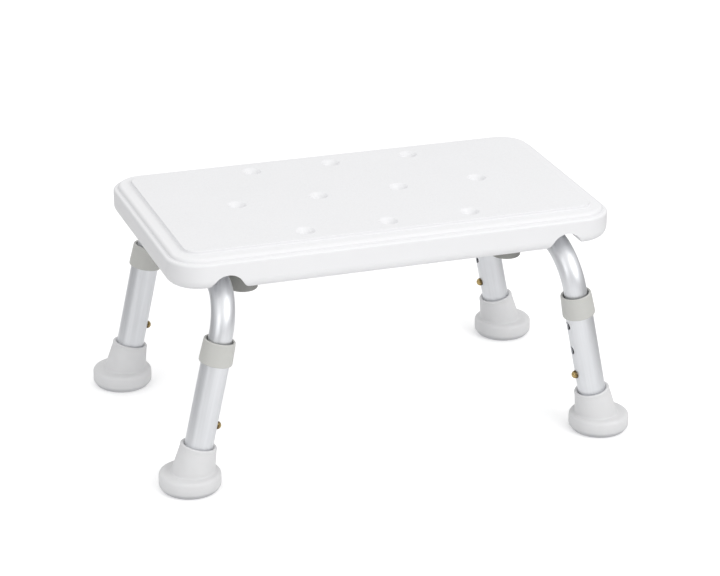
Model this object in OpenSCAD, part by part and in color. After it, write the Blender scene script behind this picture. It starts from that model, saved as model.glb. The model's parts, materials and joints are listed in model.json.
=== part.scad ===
// Height-adjustable shower stool: a hollow moulded seat on two bent
// aluminium frame tubes, with four telescopic legs locked by snap buttons.
// X runs along the seat, -Y is the front, Z is up and the floor is Z = 0.

/* [Seat] */
// Length of the seat along X
seat_length = 415; // [400:1:480]
// Width of the seat along Y
seat_width = 232; // [224:1:260]
// Thickness from the underside to the standing surface
seat_thickness = 34; // [30:1:40]
// Height of the standing surface with the legs pushed right in
seat_height = 215; // [205:1:240]
// Corner radius of the outline, seen from above
seat_corner_r = 30; // [26:1:36]
// Thickness of the moulded skin
seat_skin = 3; // [2:0.5:4]
// Inset of the raised panel from the outline
panel_inset = 16.5; // [12:0.5:20]
// Height of the raised panel above the rim around it
panel_rise = 3; // [1.5:0.5:4]

/* [Drain wells] */
// Radius of a well at the panel
well_mouth_r = 8.2; // [6:0.1:10]
// Radius of the hole at the bottom of a well
well_hole_r = 2.5; // [2:0.1:4]
// Spacing of the wells along a row
well_pitch = 77.5; // [60:0.5:80]
// Distance of the outer rows from the middle row
well_row_gap = 80; // [60:1:82]

/* [Frame tubes] */
// Outer diameter of the bent inner tube
inner_tube_d = 21.2; // [20:0.1:22.4]
// Wall of both tubes
tube_wall = 1.2; // [1:0.1:1.4]
// Centreline radius of the bends
bend_r = 38; // [30:1:38]
// Distance of each leg from the middle, along Y
leg_y = 117.6; // [110:0.1:125]
// Distance of the tube's level run from the middle, along X
run_x = 159.5; // [155:0.5:165]
// Outward lean of the legs, in degrees
splay = 11.8; // [8:0.1:15]

/* [Legs] */
// Outer diameter of the sliding outer tube
outer_tube_d = 25.4; // [25:0.1:26]
// Spacing of the height holes
hole_pitch = 25.4; // [20:0.1:25.4]
// Distance of the lowest height hole from the floor, along the leg
first_hole = 61; // [56:1:62]
// Diameter of the height holes
hole_d = 8; // [7:0.1:9]
// Diameter of the snap buttons
button_d = 7.5; // [6:0.1:7.7]

/* [Feet] */
// Diameter of the foot's base
foot_base_d = 55.5; // [50:0.5:60]
// Height of the foot's base
foot_base_h = 16.5; // [14:0.5:18]
// Height of the whole foot, along the leg
foot_height = 42; // [36:1:44]

/* [Hidden] */
$fn = 96;

LEFT = -1;
RIGHT = 1;
FRONT = -1;
BACK = 1;
eps = 0.5;                      // overrun of a cut past the face it opens

white_plastic = [0.95, 0.95, 0.95];
silver = [0.80, 0.81, 0.83];
collar_grey = [0.74, 0.74, 0.72];
bracket_grey = [0.62, 0.62, 0.60];
foot_grey = [0.82, 0.82, 0.81];
brass = [0.75, 0.62, 0.33];
steel = [0.60, 0.60, 0.62];

// Seat levels and radii, measured from its underside
seat_bottom = seat_height - seat_thickness;
rim_top = seat_thickness - panel_rise;
shoulder_top = rim_top - 3.6;   // top of the upright side, below the crease
shoulder_r = 2.4;
crease_inset = 4.2;             // the crease between side and rim bead
bead_r = 3.4;
lower_edge_r = 10;
panel_edge_r = 0.9;
panel_foot_r = 1.4;
lobe_rise = 2.7;                // of the underside outboard of the tubes
lobe_x = min(run_x + 12, seat_length / 2 - seat_corner_r - 1);

// Frame tube
inner_r = inner_tube_d / 2;
inner_bore_r = inner_r - tube_wall;
run_sink = 2;                   // the level run's centreline below the seat
run_z = seat_bottom - run_sink;
foot_x = run_x + run_z * tan(splay);    // where a leg's axis meets the floor
leg_axis_length = run_z / cos(splay);   // floor to level run, along the leg
inner_end = 36;                 // lower end of the inner tube, along the leg
notch_r = 15.5;
notch_fillet_r = 12;
notch_inboard = 0.8;            // of the notch's centre from the run's
notch_length = 46;              // from the seat's edge inwards

// Legs
outer_r = outer_tube_d / 2;
outer_bore_r = outer_r - tube_wall;
hole_count = 3;
collar_top = 141.5;
collar_height = 21.5;
collar_lip = 3.5;               // the collar's rim above the end of the tube
outer_top = collar_top - collar_lip;
socket_floor = 7.4;             // bottom of the foot's socket, along the leg
washer_thickness = 1.6;
outer_bottom = socket_floor + washer_thickness + 0.2;
socket_clearance = 0.05;
button_proud = 4.2;             // height of the button outside the outer tube
flange_r = 4.8;
flange_x = inner_bore_r - 2.7;  // inner face of the button's flange
flange_thickness = 1;
spring_strip = 0.6;
spring_width = 8;
spring_length = 34;             // from the button to the fold

// Saddle brackets and their screws
bracket_y = 50;                 // middle of a bracket, from the seat's middle
bracket_length = 28;
bracket_arm = 6;                // thickness of the arms on both sides
bracket_outer_x = 188;
post_x = 126.5;                 // round post at the inner end
post_r = 13.5;
post_drop = 25;
saddle_wall = 2.2;
screw_x = [post_x, 181];
screw_r = 2;
screw_head_r = 4;
screw_reach = 11;               // of the thread above the seat's underside

// ---------------------------------------------------------------- helpers

// Places children on a leg: origin where its axis meets the floor, +Z up
// along the leg and +X towards the middle of the stool.
module on_leg(side, end) {
    translate([side * foot_x, end * leg_y, 0])
        rotate([0, -side * splay, 0])
            mirror([side > 0 ? 1 : 0, 0, 0])
                children();
}

// Half of a plate's section: from x = 0 out to x_max, with the upper outer
// corner rounded.
module step_block(x_max, z_min, z_max, r) {
    translate([0, z_min]) square([x_max - r, z_max - z_min]);
    translate([0, z_min]) square([x_max, z_max - z_min - r]);
    translate([x_max - r, z_max - r]) circle(r);
}

// Concave fillet in the corner at the origin, filling +x and +y.
module corner_fillet(r) {
    difference() {
        square(r);
        translate([r, r]) circle(r);
    }
}

// ------------------------------------------------------------------- seat

// Section of the seat's edge, from the corner centre outwards, above an
// underside at height low and with every face moved inwards by skin.
module edge_section(skin, low) {
    reach = seat_corner_r - skin;
    r_low = lower_edge_r - skin;
    difference() {
        union() {
            step_block(reach, low + skin, shoulder_top - skin, shoulder_r);
            step_block(reach - crease_inset, low + skin, rim_top - skin, bead_r);
            step_block(reach - panel_inset, low + skin, seat_thickness - skin, panel_edge_r);
            translate([reach - panel_inset, rim_top - skin]) corner_fillet(panel_foot_r);
        }
        translate([reach - r_low, low + skin]) difference() {
            translate([0, -eps]) square([r_low + eps, r_low + eps]);
            translate([0, r_low]) circle(r_low);
        }
    }
}

// The whole plate, with every face moved inwards by skin. The underside is
// lower in the middle than in the two end lobes.
module seat_plate(skin) {
    straight_x = seat_length - 2 * seat_corner_r;
    straight_y = seat_width - 2 * seat_corner_r;
    middle_x = lobe_x - skin;
    overlap = 5;
    depth = straight_y + 2 * overlap;
    translate([-middle_x, -depth / 2, skin])
        cube([2 * middle_x, depth, seat_thickness - 2 * skin]);
    for (turn = [0, 180]) rotate([0, 0, turn]) {
        translate([middle_x, -depth / 2, lobe_rise + skin])
            cube([straight_x / 2 + overlap - middle_x, depth, seat_thickness - lobe_rise - 2 * skin]);
        translate([straight_x / 2, straight_y / 2, 0]) rotate([90, 0, 0])
            linear_extrude(straight_y) edge_section(skin, lobe_rise);
        translate([-middle_x, straight_y / 2, 0]) rotate([90, 0, 90])
            linear_extrude(2 * middle_x) edge_section(skin, 0);
        for (x = [-straight_x / 2, middle_x]) translate([x, straight_y / 2, 0]) rotate([90, 0, 90])
            linear_extrude(straight_x / 2 - middle_x) edge_section(skin, lobe_rise);
        translate([straight_x / 2, straight_y / 2, 0])
            rotate_extrude(angle = 90) edge_section(skin, lobe_rise);
        translate([-straight_x / 2, straight_y / 2, 0]) rotate([0, 0, 90])
            rotate_extrude(angle = 90) edge_section(skin, lobe_rise);
    }
}

// Calls its children at each drain well: rows of three, four and three.
module at_wells() {
    for (i = [-1 : 1], row = [-1, 1])
        translate([i * well_pitch, row * well_row_gap, 0]) children();
    for (i = [-1.5 : 1.5])
        translate([i * well_pitch, 0, 0]) children();
}

// The dished well with a soft lip, and its hole through the seat.
module well_cut() {
    lip_r = 1.2;
    dish_depth = 5;
    translate([0, 0, seat_thickness - dish_depth])
        cylinder(h = dish_depth, r1 = well_hole_r + 1.5, r2 = well_mouth_r);
    translate([0, 0, -eps]) cylinder(h = seat_thickness, r = well_hole_r);
    translate([0, 0, seat_thickness]) rotate_extrude()
        translate([well_mouth_r - 0.6, 0]) mirror([0, 1])
            intersection() {
                corner_fillet(lip_r);
                square(lip_r);
            }
    translate([0, 0, seat_thickness - lip_r / 2])
        cylinder(h = lip_r, r = well_mouth_r - 0.6);
}

// Section of the arched notch over a tube, with every face moved outwards
// by grow. The blends cross the arch and the underside at a slight angle.
module notch_section(grow) {
    overlap = 0.02;
    dip = 0.05;
    blend_z = notch_fillet_r - dip;
    centres = notch_r + notch_fillet_r - overlap;
    spread = sqrt(centres * centres - blend_z * blend_z);
    meeting_z = (notch_r + grow) * blend_z / centres;
    circle(notch_r + grow);
    difference() {
        translate([-spread, -eps]) square([2 * spread, meeting_z + eps]);
        for (s = [-1, 1]) translate([s * spread, blend_z])
            circle(notch_fillet_r - grow);
    }
}

// Calls its children in the frame of each notch, opening towards -Z.
module at_notches() {
    for (s = [LEFT, RIGHT], e = [FRONT, BACK])
        translate([s * (run_x - notch_inboard), e * seat_width / 2, 0])
            rotate([90, 0, e == FRONT ? 180 : 0]) children();
}

// Rod of radius r along both level runs, from notch to notch.
module at_runs(r) {
    for (s = [LEFT, RIGHT]) translate([s * run_x, 0, -run_sink]) rotate([90, 0, 0])
        cylinder(h = seat_width - 2 * notch_length + 2, r = r, center = true);
}

module at_screws() {
    for (s = [LEFT, RIGHT], e = [FRONT, BACK], x = screw_x)
        translate([s * x, e * bracket_y, 0]) children();
}

module seat() {
    color(white_plastic) translate([0, 0, seat_bottom]) difference() {
        seat_plate(0);
        difference() {
            seat_plate(seat_skin);
            at_wells() cylinder(h = seat_thickness, r = well_mouth_r + 2);
            at_notches() translate([0, 0, -eps])
                linear_extrude(notch_length + seat_skin) notch_section(seat_skin);
            at_runs(inner_r + seat_skin);
            at_screws() cylinder(h = screw_reach + seat_skin, r = screw_head_r + 2);
        }
        at_wells() well_cut();
        at_notches() translate([0, 0, -eps]) linear_extrude(notch_length) notch_section(0);
        at_runs(inner_r + socket_clearance);
        at_screws() translate([0, 0, -eps]) cylinder(h = screw_reach + eps, r = screw_r + 0.02);
    }
}

// ----------------------------------------------------------- frame tubes

// The U-shaped path at radius r: level run, two bends and two legs.
module bent_run(r, overrun) {
    half_run = leg_y - bend_r;
    leg_length = leg_axis_length - inner_end - bend_r;
    rotate([90, 0, 0]) cylinder(h = 2 * half_run, r = r, center = true);
    for (e = [FRONT, BACK]) {
        translate([0, e * half_run, -bend_r]) rotate([0, 0, e * 90]) rotate([90, 0, 0])
            rotate_extrude(angle = 90) translate([bend_r, 0]) circle(r);
        translate([0, e * leg_y, -bend_r - leg_length - overrun])
            cylinder(h = leg_length + overrun, r = r);
    }
}

module frame_tube(side) {
    color(silver) difference() {
        translate([side * run_x, 0, run_z]) rotate([0, -side * splay, 0]) difference() {
            bent_run(inner_r, 0);
            bent_run(inner_bore_r, eps);
        }
        for (e = [FRONT, BACK]) on_leg(side, e)
            translate([0, 0, first_hole]) rotate([0, 90, 0])
                cylinder(h = inner_r + eps, d = hole_d);
    }
}

// -------------------------------------------------------- saddle brackets

// Bracket that cups the level run, with an arm outwards and a round post
// inwards. Both are screwed up into the seat.
module saddle_bracket(side, end) {
    saddle_r = inner_r + saddle_wall;
    bore_r = inner_r + socket_clearance;
    lobe_gap = 0.3;
    color(bracket_grey) translate([0, end * bracket_y, 0]) mirror([side > 0 ? 0 : 1, 0, 0])
        difference() {
            union() {
                rotate([90, 0, 0]) linear_extrude(bracket_length, center = true) {
                    translate([post_x, seat_bottom - bracket_arm])
                        square([bracket_outer_x - post_x, bracket_arm]);
                    translate([lobe_x + lobe_gap, seat_bottom - eps])
                        square([bracket_outer_x - lobe_x - lobe_gap, lobe_rise + eps]);
                    intersection() {
                        translate([run_x, run_z]) circle(saddle_r);
                        translate([run_x - saddle_r, run_z - saddle_r - eps])
                            square([2 * saddle_r, saddle_r + run_sink + eps]);
                    }
                }
                translate([post_x, 0, seat_bottom]) rotate_extrude() mirror([0, 1])
                    step_block(post_r, 0, post_drop, 1.2);
            }
            translate([run_x, 0, run_z]) rotate([90, 0, 0])
                cylinder(h = bracket_length + 2 * eps, r = bore_r, center = true);
            for (x = screw_x) translate([x, 0, seat_bottom]) {
                translate([0, 0, -bracket_arm - eps]) cylinder(h = bracket_arm + lobe_rise + 2 * eps, r = screw_r + 0.3);
                translate([0, 0, -post_drop - eps])
                    cylinder(h = post_drop - bracket_arm + eps, r = screw_head_r + 0.6);
            }
        }
}

// Eight pan-head screws, heads down under the brackets' arms.
module bracket_screws() {
    head_h = 2.8;
    color(steel) translate([0, 0, seat_bottom - bracket_arm]) at_screws() {
        cylinder(h = bracket_arm + screw_reach - 0.5, r = screw_r);
        difference() {
            translate([0, 0, -head_h]) cylinder(h = head_h, r1 = screw_head_r - 1, r2 = screw_head_r);
            for (turn = [0, 90]) translate([0, 0, -head_h]) rotate([0, 0, turn])
                cube([4.4, 0.9, 2.4], center = true);
        }
    }
}

// ------------------------------------------------------------------- legs

module outer_tube(side, end) {
    color(silver) on_leg(side, end) difference() {
        translate([0, 0, outer_bottom]) cylinder(h = outer_top - outer_bottom, r = outer_r);
        translate([0, 0, outer_bottom - eps])
            cylinder(h = outer_top - outer_bottom + 2 * eps, r = outer_bore_r);
        for (i = [0 : hole_count - 1]) translate([0, 0, first_hole + i * hole_pitch])
            rotate([0, 90, 0]) cylinder(h = outer_r + eps, d = hole_d);
    }
}

// Plastic collar on the mouth of the outer tube: a rounded rim with a lip
// over the tube's end.
module leg_collar(side, end) {
    rim_r = 14.2;
    skirt_r = 15;
    mouth_r = 12;
    rim_bead = 1;
    skirt_round = 1.2;
    bore_height = collar_height - collar_lip + 0.05;
    color(collar_grey) on_leg(side, end) translate([0, 0, collar_top - collar_height])
        rotate_extrude() difference() {
            union() {
                polygon([
                    [mouth_r, 0],
                    [skirt_r - skirt_round, 0],
                    [skirt_r, skirt_round],
                    [rim_r, collar_height - rim_bead],
                    [mouth_r, collar_height - rim_bead]
                ]);
                translate([skirt_r - skirt_round, skirt_round]) circle(skirt_round);
                translate([rim_r - rim_bead, collar_height - rim_bead]) circle(rim_bead);
            }
            translate([0, -eps]) square([outer_r + socket_clearance, bore_height + eps]);
        }
}

// Rubber ferrule: a flared socket along the leg on a level round base.
module foot_tip(side, end) {
    base_r = foot_base_d / 2;
    sole_chamfer = 3.3;
    shoulder = 3.5;
    rim_bead = 1.6;
    socket_top_r = 16.1;
    socket_low_r = 20.5;
    groove_depth = 1.2;
    color(foot_grey) difference() {
        union() {
            translate([side * foot_x, end * leg_y, 0]) rotate_extrude() union() {
                polygon([
                    [0, 0],
                    [base_r - sole_chamfer, 0],
                    [base_r, sole_chamfer + 1],
                    [base_r, foot_base_h - shoulder],
                    [0, foot_base_h - shoulder]
                ]);
                square([base_r - shoulder, foot_base_h]);
                translate([base_r - shoulder, foot_base_h - shoulder]) circle(shoulder);
            }
            on_leg(side, end) translate([0, 0, socket_floor]) {
                cylinder(h = foot_height - rim_bead - socket_floor, r1 = socket_low_r, r2 = socket_top_r);
                translate([0, 0, foot_height - rim_bead - socket_floor]) rotate_extrude()
                    translate([socket_top_r - rim_bead + 0.5, 0]) circle(rim_bead);
            }
        }
        on_leg(side, end) translate([0, 0, socket_floor])
            cylinder(h = foot_height, r = outer_r + socket_clearance);
        translate([side * foot_x, end * leg_y, 0])
            for (r = [8, 13, 18]) rotate_extrude()
                translate([r, -eps]) square([2, groove_depth + eps]);
    }
}

// Steel disc in the bottom of the socket, under the end of the tube.
module foot_washer(side, end) {
    color(steel) on_leg(side, end) translate([0, 0, socket_floor + 0.1]) difference() {
        cylinder(h = washer_thickness, r = outer_r - 0.3);
        translate([0, 0, -eps]) cylinder(h = washer_thickness + 2 * eps, r = 4);
    }
}

// Domed locking pin with the flange that stops it inside the inner tube.
module snap_button(side, end) {
    dome_r = button_d / 2;
    tip = outer_r + button_proud;
    color(brass) on_leg(side, end) translate([0, 0, first_hole]) rotate([0, 90, 0]) {
        translate([0, 0, flange_x]) cylinder(h = tip - dome_r - flange_x, r = dome_r);
        translate([0, 0, tip - dome_r]) sphere(dome_r);
        translate([0, 0, flange_x]) cylinder(h = flange_thickness, r = flange_r);
    }
}

// Folded strip that pushes the button out and bears on the far wall.
module snap_spring(side, end) {
    fold_r = 3;
    button_arm_x = flange_x - spring_strip - 0.05;
    far_arm_x = 1.1 - inner_bore_r;
    tail = 5;
    color(steel) on_leg(side, end) translate([0, spring_width / 2, first_hole])
        rotate([90, 0, 0]) linear_extrude(spring_width) {
            polygon([
                [button_arm_x, -tail], [button_arm_x + spring_strip, -tail],
                [button_arm_x + spring_strip, tail],
                [fold_r, spring_length], [fold_r - spring_strip, spring_length],
                [button_arm_x, tail]
            ]);
            polygon([
                [far_arm_x, -tail], [far_arm_x + spring_strip, -tail],
                [-fold_r + spring_strip, spring_length], [-fold_r, spring_length]
            ]);
            translate([0, spring_length]) intersection() {
                difference() {
                    circle(fold_r);
                    circle(fold_r - spring_strip);
                }
                translate([-fold_r, 0]) square([2 * fold_r, fold_r]);
            }
        }
}

// --------------------------------------------------------------- assembly

seat();
frame_tube(LEFT);  // frame_tube_left
frame_tube(RIGHT);  // frame_tube_right
saddle_bracket(LEFT, FRONT);  // saddle_bracket_front_left
saddle_bracket(RIGHT, FRONT);  // saddle_bracket_front_right
saddle_bracket(LEFT, BACK);  // saddle_bracket_back_left
saddle_bracket(RIGHT, BACK);  // saddle_bracket_back_right
bracket_screws();
outer_tube(LEFT, FRONT);  // outer_tube_front_left
outer_tube(RIGHT, FRONT);  // outer_tube_front_right
outer_tube(LEFT, BACK);  // outer_tube_back_left
outer_tube(RIGHT, BACK);  // outer_tube_back_right
leg_collar(LEFT, FRONT);  // leg_collar_front_left
leg_collar(RIGHT, FRONT);  // leg_collar_front_right
leg_collar(LEFT, BACK);  // leg_collar_back_left
leg_collar(RIGHT, BACK);  // leg_collar_back_right
foot_tip(LEFT, FRONT);  // foot_tip_front_left
foot_tip(RIGHT, FRONT);  // foot_tip_front_right
foot_tip(LEFT, BACK);  // foot_tip_back_left
foot_tip(RIGHT, BACK);  // foot_tip_back_right
foot_washer(LEFT, FRONT);  // foot_washer_front_left
foot_washer(RIGHT, FRONT);  // foot_washer_front_right
foot_washer(LEFT, BACK);  // foot_washer_back_left
foot_washer(RIGHT, BACK);  // foot_washer_back_right
snap_button(LEFT, FRONT);  // snap_button_front_left
snap_button(RIGHT, FRONT);  // snap_button_front_right
snap_button(LEFT, BACK);  // snap_button_back_left
snap_button(RIGHT, BACK);  // snap_button_back_right
snap_spring(LEFT, FRONT);  // snap_spring_front_left
snap_spring(RIGHT, FRONT);  // snap_spring_front_right
snap_spring(LEFT, BACK);  // snap_spring_back_left
snap_spring(RIGHT, BACK);  // snap_spring_back_right
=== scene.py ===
"""Visual model of a height-adjustable shower stool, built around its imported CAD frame.

Lengths are in metres. A leg's own frame has its origin where the leg's axis meets the
floor, +Z up the leg and +X towards the middle of the stool.
"""

import json
import math

import bmesh
import bpy
from bpy.props import FloatProperty, FloatVectorProperty, IntProperty
from bpy.types import Operator, Panel, PropertyGroup
from mathutils import Matrix, Vector


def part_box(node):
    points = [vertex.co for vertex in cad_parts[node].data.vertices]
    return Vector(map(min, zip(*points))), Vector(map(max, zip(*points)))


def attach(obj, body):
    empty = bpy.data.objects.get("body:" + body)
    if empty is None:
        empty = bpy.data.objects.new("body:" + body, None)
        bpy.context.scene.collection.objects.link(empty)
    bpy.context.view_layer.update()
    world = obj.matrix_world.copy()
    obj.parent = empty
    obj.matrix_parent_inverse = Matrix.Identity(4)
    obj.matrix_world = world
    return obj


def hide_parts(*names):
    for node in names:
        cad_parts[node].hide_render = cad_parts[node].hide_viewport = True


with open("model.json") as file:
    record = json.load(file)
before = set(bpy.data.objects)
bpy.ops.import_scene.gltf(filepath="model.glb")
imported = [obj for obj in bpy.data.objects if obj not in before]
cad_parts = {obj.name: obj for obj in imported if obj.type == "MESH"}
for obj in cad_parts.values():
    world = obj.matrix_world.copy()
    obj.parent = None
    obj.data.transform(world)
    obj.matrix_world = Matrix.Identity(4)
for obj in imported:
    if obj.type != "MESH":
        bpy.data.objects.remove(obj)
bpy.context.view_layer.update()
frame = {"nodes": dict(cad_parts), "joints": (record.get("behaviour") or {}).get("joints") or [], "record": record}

bl_info = {
    "name": "Shower stool",
    "version": (1, 0, 0),
    "blender": (4, 5, 0),
    "location": "View3D > Sidebar > Stool",
    "description": "Builds the looks of a shower stool around its CAD frame",
    "category": "Object",
}

MM = 0.001
LEFT, RIGHT, FRONT, BACK = -1, 1, -1, 1
SIDE_NAMES = {LEFT: "left", RIGHT: "right"}
END_NAMES = {FRONT: "front", BACK: "back"}
LEGS = [(side, end) for end in (FRONT, BACK) for side in (LEFT, RIGHT)]
ALONG = "along_tube"          # point attribute: section x, section y, length along
MOUNTS = {m["name"]: m for m in frame["record"]["mounts"]}
SLIDES = {j["name"]: j for j in frame["joints"]}
SEAT_LOW, SEAT_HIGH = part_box("seat")
TUBE_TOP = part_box("frame_tube_left")[1].z
FIT = 0.05 * MM               # gap between a piece and what it is pushed onto


# ------------------------------------------------------------------ settings

def size(name, text, value):
    """A length in metres that a user may change."""
    return FloatProperty(name=name, description=text, default=value, min=0.0, precision=5,
                         unit="LENGTH", subtype="DISTANCE")


def colour(name, text, value):
    """A linear colour that a user may change."""
    return FloatVectorProperty(name=name, description=text, default=value, size=3,
                               min=0.0, max=1.0, subtype="COLOR")


class StoolSeatSettings(PropertyGroup):
    length: size("Length", "Seat along X", SEAT_HIGH.x - SEAT_LOW.x)
    width: size("Width", "Seat along Y", SEAT_HIGH.y - SEAT_LOW.y)
    bottom: size("Underside", "Height of the underside", SEAT_LOW.z)
    top: size("Top", "Height of the raised panel", SEAT_HIGH.z)
    corner: size("Corner radius", "Outline's corners from above", 30 * MM)
    low_edge: size("Lower edge", "Radius of the lower edge", 10 * MM)
    panel_inset: size("Panel inset", "From the outline to the raised panel", 16.5 * MM)
    panel_rise: size("Panel rise", "Raised panel above the rim", 3 * MM)
    well_radius: size("Well radius", "Where a drain well leaves the panel", 9.4 * MM)
    well_depth: size("Well depth", "Depth of a drain well", 5 * MM)
    well_hole: size("Well hole", "Radius of the drain hole", 2.5 * MM)
    well_pitch: size("Well pitch", "Between wells along a row", 77.5 * MM)
    well_rows: size("Row distance", "Outer rows from the middle row", 80 * MM)
    notch_radius: size("Notch radius", "Arch over each tube", 15.5 * MM)
    notch_blend: size("Notch blend", "Radius where the arch meets the underside", 12 * MM)
    notch_depth: size("Notch depth", "Arch from the edge inwards", 46 * MM)
    notch_x: size("Notch distance", "Arch's centre from the middle along X", 158.7 * MM)
    run_x: size("Run distance", "Level tube's centre from the middle along X", 159.5 * MM)
    run_sink: size("Run sink", "Level tube's centre below the underside", 2 * MM)
    lobe_rise: size("Lobe rise", "Underside outboard of the tubes above the rest of it", 2.7 * MM)
    lobe_x: size("Lobe distance", "Where the underside steps up, from the middle along X", 171.5 * MM)


class StoolLegSettings(PropertyGroup):
    inner_radius: size("Inner tube radius", "Outside of the bent tube", 10.6 * MM)
    outer_radius: size("Outer tube radius", "Outside of the sliding tube", 12.7 * MM)
    bend: size("Bend radius", "Centre line of the bends", 38 * MM)
    leg_y: size("Leg distance", "Leg's axis from the middle along Y", 117.6 * MM)
    first_hole: size("First hole", "Lowest height hole along the leg", 61 * MM)
    collar_top: size("Collar top", "Rim of the collar along the leg", 141.5 * MM)
    collar_height: size("Collar height", "Collar from rim to skirt", 21.5 * MM)
    collar_rim: size("Collar rim radius", "Outside of the rim", 14.2 * MM)
    collar_skirt: size("Collar skirt radius", "Outside of the skirt", 15 * MM)
    collar_mouth: size("Collar mouth radius", "Opening round the inner tube", 12 * MM)
    button_radius: size("Button radius", "Shank of the snap button", 3.75 * MM)
    button_proud: size("Button height", "Button outside the outer tube", 4.2 * MM)
    foot_voxel: size("Foot smoothing", "Voxel that rounds the moulded foot", 0.7 * MM)
    bracket_edge: size("Bracket edge", "Rounding of the brackets' edges", 0.4 * MM)


class StoolColourSettings(PropertyGroup):
    seat: colour("Seat", "White moulded seat", (0.80, 0.80, 0.81))
    tube: colour("Tube", "Satin aluminium", (0.79, 0.80, 0.82))
    collar: colour("Collar", "Warm grey collar", (0.54, 0.54, 0.515))
    bracket: colour("Bracket", "Warm grey bracket", (0.29, 0.29, 0.275))
    foot: colour("Foot", "Pale grey rubber", (0.66, 0.66, 0.665))
    brass: colour("Brass", "Snap button", (0.55, 0.41, 0.18))
    spring: colour("Spring", "Strip spring", (0.42, 0.43, 0.45))
    zinc: colour("Zinc", "Screws and washers", (0.58, 0.59, 0.61))
    floor: colour("Floor", "Plain pale floor", (0.93, 0.93, 0.93))


class StoolStageSettings(PropertyGroup):
    azimuth: FloatProperty(name="Azimuth", description="Camera round the stool, 0 from the front",
                           default=math.radians(-20.017), subtype="ANGLE", unit="ROTATION")
    elevation: FloatProperty(name="Elevation", description="Camera above the horizon",
                             default=math.radians(22.571), subtype="ANGLE", unit="ROTATION")
    roll: FloatProperty(name="Roll", description="Camera about its own axis",
                        default=math.radians(0.719), subtype="ANGLE", unit="ROTATION")
    distance: size("Distance", "Camera from its target", 2.5667)
    target: FloatVectorProperty(name="Target", description="Point that the camera looks at",
                                default=(0.06324, 0.12426, 0.05841), subtype="XYZ", unit="LENGTH")
    lens: FloatProperty(name="Lens", description="Focal length in millimetres", default=130.07, min=1.0)
    shift: FloatVectorProperty(name="Shift", description="Sideways and upward shift of the view",
                               default=(-0.0219, 0.0042), size=2)
    sky: FloatProperty(name="Sky", description="Strength of the even white light", default=1.0, min=0.0)
    key: FloatProperty(name="Key light", description="Power of the large front light in watts",
                       default=19.5, min=0.0)
    fill: FloatProperty(name="Fill light", description="Power of the light from the left in watts",
                        default=4.5, min=0.0)
    floor_size: size("Floor", "Width of the floor", 40.0)
    bounce: FloatProperty(name="Floor bounce", default=0.9, min=0.0, max=1.0,
                          description="Brightness of the floor as the stool sees it")
    fall_off: FloatVectorProperty(name="Fall-off", default=(0.26, 0.58), size=2, unit="LENGTH",
                                  description="Where the floor bounce starts and ends to fade")
    contact: size("Contact", "Distance within which the floor lets light reach the soles", 0.012)
    glow: FloatProperty(name="Floor glow", default=0.22, min=0.0,
                        description="Light added to the floor in the view")


class StoolMeshSettings(PropertyGroup):
    round_steps: IntProperty(name="Round steps", description="Segments of a full turn",
                             default=72, min=24, max=128)
    corner_steps: IntProperty(name="Corner steps", description="Segments of a quarter turn",
                              default=16, min=4, max=32)


SETTINGS = {
    "stool_seat": StoolSeatSettings,
    "stool_legs": StoolLegSettings,
    "stool_colours": StoolColourSettings,
    "stool_stage": StoolStageSettings,
    "stool_mesh": StoolMeshSettings,
}


# ------------------------------------------------------------------- helpers

def leg_name(side, end):
    """A leg's end and side, as in its nodes' names."""
    return f"{END_NAMES[end]}_{SIDE_NAMES[side]}"


def leg_matrix(side, end):
    """From a leg's own frame to the row frame."""
    name = leg_name(side, end)
    up = -Vector(SLIDES[f"leg_slide_{name}"]["axis"])
    inward = Vector((0, 1, 0)).cross(up) * -side
    turned = Matrix((inward, up.cross(inward), up)).transposed().to_4x4()
    return Matrix.Translation(MOUNTS[f"sole_{name}"]["pos_m"]) @ turned


def arc(x, z, radius, start, stop, steps):
    """Points on an arc in the XZ plane, angles in degrees from +X towards +Z."""
    turns = [math.radians(start + (stop - start) * i / steps) for i in range(steps + 1)]
    return [(x + radius * math.cos(t), z + radius * math.sin(t)) for t in turns]


def ring_profile(bm, points, steps):
    """Spins an open or closed profile of (radius, height) points round Z."""
    verts = [bm.verts.new((x, 0, z)) for x, z in points]
    edges = [bm.edges.new(pair) for pair in zip(verts, verts[1:])]
    bmesh.ops.spin(bm, geom=verts + edges, cent=(0, 0, 0), axis=(0, 0, 1), angle=math.tau,
                   steps=steps, use_merge=True, use_duplicate=False)
    bmesh.ops.remove_doubles(bm, verts=bm.verts, dist=1e-6)
    bmesh.ops.dissolve_degenerate(bm, dist=1e-6, edges=bm.edges)
    bmesh.ops.recalc_face_normals(bm, faces=bm.faces)


def extruded_outline(bm, points, reach, place):
    """A prism of the outline in XZ, extruded along Y by reach and put in place."""
    face = bm.faces.new([bm.verts.new((x, 0, z)) for x, z in points])
    made = bmesh.ops.extrude_face_region(bm, geom=[face], use_keep_orig=True)["geom"]
    new = [v for v in made if isinstance(v, bmesh.types.BMVert)]
    bmesh.ops.translate(bm, verts=new, vec=(0, reach, 0))
    bmesh.ops.transform(bm, matrix=place, verts=list(set(new) | set(face.verts)))


def as_object(name, bm):
    """Makes an object of a bmesh and frees it."""
    mesh = bpy.data.meshes.new(name)
    bm.to_mesh(mesh)
    bm.free()
    made = bpy.data.objects.new(name, mesh)
    bpy.context.scene.collection.objects.link(made)
    return made


def applied(obj):
    """Replaces the object's mesh by the one its modifiers give."""
    bpy.context.view_layer.update()
    shown = obj.evaluated_get(bpy.context.evaluated_depsgraph_get())
    mesh = bpy.data.meshes.new_from_object(shown)
    obj.modifiers.clear()
    old, obj.data = obj.data, mesh
    bpy.data.meshes.remove(old)


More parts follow.
